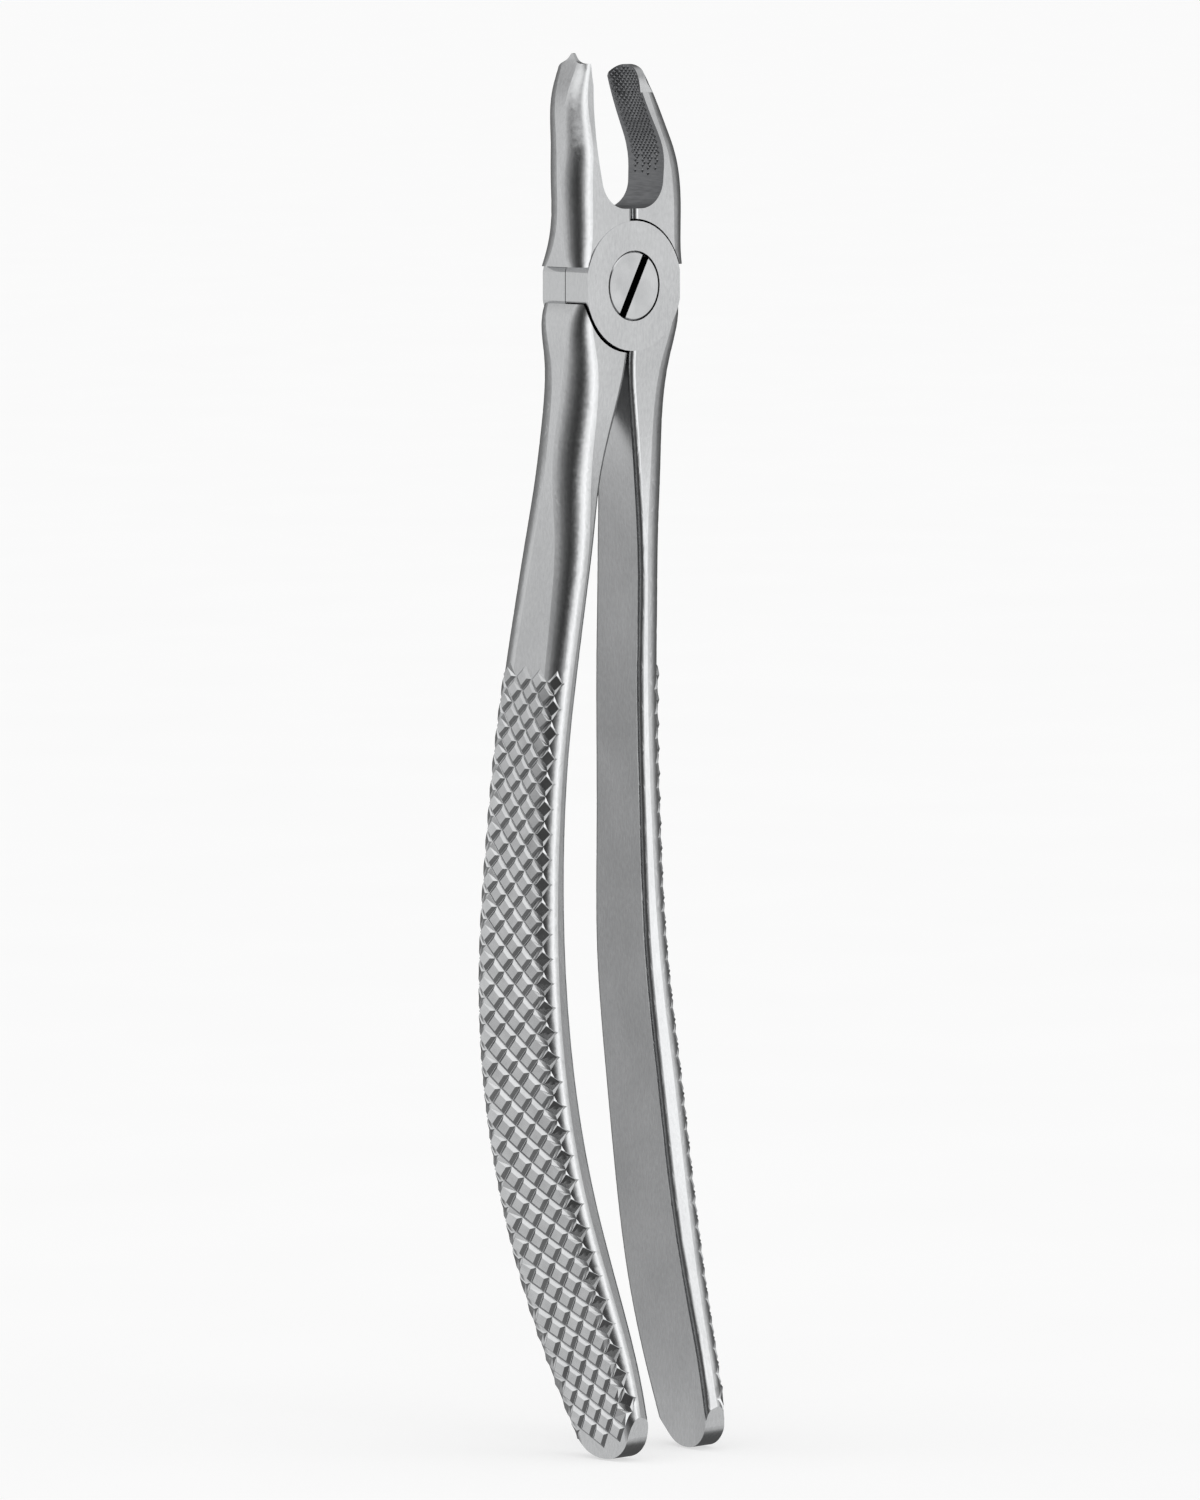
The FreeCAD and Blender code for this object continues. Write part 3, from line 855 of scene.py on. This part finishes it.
class FORCEPS_OT_stage(bpy.types.Operator):
    """Set up the floor, the studio light and the camera"""
    bl_idname = "forceps.stage"
    bl_label = "Stage"

    # Brightness of the studio walls by azimuth: white boards at the front and the back left,
    # black flags beside the camera and at the back right.
    WALLS = ((-180, 0.26), (-160, 0.36), (-150, 0.55), (-137, 0.95), (-122, 0.80),
             (-100, 0.45), (-80, 0.22), (-60, 0.10), (-43, 0.06), (-27, 0.12), (-12, 0.50),
             (3, 1.35), (20, 1.75), (33, 1.30), (43, 0.95), (60, 0.50), (83, 0.20),
             (118, 0.10), (150, 0.14), (180, 0.26))
    # The ceiling is a bright soft box and the ground is dark, both stronger at the front left.
    CEILING, GROUND = 1.35, 0.22
    STRONGER_TOWARDS = (-0.87, -0.50, 0.0)
    FLOOR_RADIUS = 60.0  # metres, so that its far edge lies near the horizon

    def execute(self, context):
        self.make_camera(context)
        self.make_floor(context)
        self.make_light(context)
        context.scene.view_settings.view_transform = "Standard"
        return {"FINISHED"}

    def make_camera(self, context):
        look = settings("forceps_stage")
        lens = bpy.data.cameras.new("camera")
        lens.sensor_width = 36
        lens.lens = 36 * look.distance / look.seen_height
        lens.clip_start, lens.clip_end = 0.05, 200
        camera = bpy.data.objects.new("camera", lens)
        context.scene.collection.objects.link(camera)
        turn, rise = look.azimuth, look.elevation
        back = Vector((math.sin(turn) * math.cos(rise), -math.cos(turn) * math.cos(rise),
                       math.sin(rise)))
        camera.location = Vector(look.aim) + back * look.distance
        camera.rotation_euler = (-back).to_track_quat("-Z", "Y").to_euler()
        context.scene.camera = camera

    def make_floor(self, context):
        low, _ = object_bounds()
        clearance = 0.2 * MM
        build = bmesh.new()
        bmesh.ops.create_circle(build, cap_ends=True, radius=self.FLOOR_RADIUS, segments=96)
        build.transform(Matrix.Translation((0, 0, low.z - clearance)))
        mesh = bpy.data.meshes.new("floor")
        build.to_mesh(mesh)
        build.free()
        mesh.materials.append(floor_paint())
        floor = bpy.data.objects.new("floor", mesh)
        context.scene.collection.objects.link(floor)
        floor.visible_glossy = False
        floor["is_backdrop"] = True

    def make_light(self, context):
        world = bpy.data.worlds.new("studio")
        context.scene.world = world
        world.use_nodes = True
        tree = world.node_tree
        tree.nodes.clear()
        lit = add_node(tree, "ShaderNodeBackground", {
            "Color": self.studio(tree), "Strength": 2 * settings("forceps_stage").light})
        plain = add_node(tree, "ShaderNodeBackground", {
            "Color": linear("#FAFAFA"), "Strength": 1.0})
        path = add_node(tree, "ShaderNodeLightPath")
        mixed = add_node(tree, "ShaderNodeMixShader", {
            0: path.outputs["Is Camera Ray"], 1: lit.outputs[0], 2: plain.outputs[0]})
        add_node(tree, "ShaderNodeOutputWorld", {"Surface": mixed.outputs[0]})

    def studio(self, tree):
        """Return the light from each direction, at half strength: walls, ceiling and ground."""
        where = add_node(tree, "ShaderNodeTexCoord")
        parts = add_node(tree, "ShaderNodeSeparateXYZ", {"Vector": where.outputs["Generated"]})
        forward = add_node(tree, "ShaderNodeMath", {0: parts.outputs["Y"], 1: -1.0},
                           operation="MULTIPLY")
        turn = add_node(tree, "ShaderNodeMath", {0: parts.outputs["X"],
                                                 1: forward.outputs[0]},
                        operation="ARCTAN2")
        place = map_range(tree, turn.outputs[0], 0, 1, -math.pi, math.pi)
        walls = ramp(tree, place, [((degrees + 180) / 360, (grey / 2, grey / 2, grey / 2, 1))
                                   for degrees, grey in self.WALLS], "EASE")
        height = map_range(tree, parts.outputs["Z"], 0, 1, -1, 1)
        above, below = self.CEILING / 2, self.GROUND / 2
        cover = ramp(tree, height, [(0.0, (below, below, below, 1)),
                                    (0.45, (below, below, below, 1)),
                                    (0.88, (above, above, above, 1)),
                                    (1.0, (above, above, above, 1))], "EASE")
        facing = add_node(tree, "ShaderNodeVectorMath", {
            0: where.outputs["Generated"], 1: self.STRONGER_TOWARDS},
            operation="DOT_PRODUCT").outputs["Value"]
        share = map_range(tree, facing, 0.35, 1.15, -1, 1)
        lit_cover = add_node(tree, "ShaderNodeVectorMath", {
            0: cover, "Scale": share}, operation="SCALE").outputs["Vector"]
        level = ramp(tree, height, [(0.0, (0, 0, 0, 1)), (0.15, (0, 0, 0, 1)),
                                    (0.25, (1, 1, 1, 1)), (0.78, (1, 1, 1, 1)),
                                    (0.88, (0, 0, 0, 1)), (1.0, (0, 0, 0, 1))], "EASE")
        return add_node(tree, "ShaderNodeMix", {
            0: level, 6: lit_cover, 7: walls}, data_type="RGBA").outputs[2]


OPERATORS = (FORCEPS_OT_halves, FORCEPS_OT_screw, FORCEPS_OT_knurl, FORCEPS_OT_serration,
             FORCEPS_OT_stage)
GROUPS = {
    "forceps_steel": FORCEPS_PG_steel,
    "forceps_knurl": FORCEPS_PG_knurl,
    "forceps_serration": FORCEPS_PG_serration,
    "forceps_joint": FORCEPS_PG_joint,
    "forceps_screw": FORCEPS_PG_screw,
    "forceps_stage": FORCEPS_PG_stage,
}


class FORCEPS_PT_panel(bpy.types.Panel):
    """Lists the steps that build the forceps"""
    bl_idname = "FORCEPS_PT_panel"
    bl_label = "Extraction forceps"
    bl_space_type = "VIEW_3D"
    bl_region_type = "UI"
    bl_category = "Forceps"

    def draw(self, context):
        for operator in OPERATORS:
            self.layout.operator(operator.bl_idname)


def register():
    for group in GROUPS.values():
        bpy.utils.register_class(group)
    for operator in OPERATORS:
        bpy.utils.register_class(operator)
    bpy.utils.register_class(FORCEPS_PT_panel)
    for name, group in GROUPS.items():
        setattr(bpy.types.Scene, name, bpy.props.PointerProperty(type=group))


def unregister():
    for name in GROUPS:
        delattr(bpy.types.Scene, name)
    bpy.utils.unregister_class(FORCEPS_PT_panel)
    for operator in reversed(OPERATORS):
        bpy.utils.unregister_class(operator)
    for group in reversed(list(GROUPS.values())):
        bpy.utils.unregister_class(group)


def main():
    register()
    for operator in OPERATORS:
        family, name = operator.bl_idname.split(".")
        getattr(getattr(bpy.ops, family), name)()


if __name__ == "__main__":
    main()
